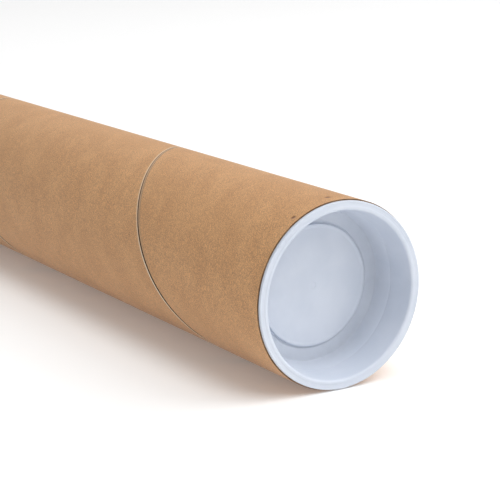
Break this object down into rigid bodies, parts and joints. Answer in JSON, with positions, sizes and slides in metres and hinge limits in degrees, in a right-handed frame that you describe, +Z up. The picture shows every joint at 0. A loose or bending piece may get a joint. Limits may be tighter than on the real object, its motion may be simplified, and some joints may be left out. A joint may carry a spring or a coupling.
{
  "type": "drawing tube",
  "caption": "Long round kraft paperboard tube, spirally wound, with a recessed white plastic plug cap in each end, for rolled drawings.",
  "frame": {"origin": "on the surface that the tube lies on, straight below the middle of its length", "axes": "+X along the tube towards the front cap, +Y to the far side of the tube as seen with the front cap on the right, +Z up"},
  "size_m": [0.653, 0.0802, 0.0802],
  "materials": {
    "kraft_wrap": "matt",
    "chipboard": "matt",
    "kraft_liner": "matt",
    "cap_plastic": "satin"
  },
  "bodies": {
    "tube": {"kraft_wrap_ply": "kraft_wrap", "paperboard_ply_4": "chipboard", "paperboard_ply_3": "chipboard", "paperboard_ply_2": "chipboard", "paperboard_ply_1": "chipboard", "kraft_liner_ply": "kraft_liner"},
    "front_cap": {"front_cap": "cap_plastic"},
    "rear_cap": {"rear_cap": "cap_plastic"}
  },
  "joints": [
    {"name": "front_cap_pull", "type": "slide", "parent": "tube", "child": "front_cap", "axis": [1, 0, 0], "range_m": [0, 0.12]},
    {"name": "rear_cap_pull", "type": "slide", "parent": "tube", "child": "rear_cap", "axis": [-1, 0, 0], "range_m": [0, 0.12]}
  ]
}
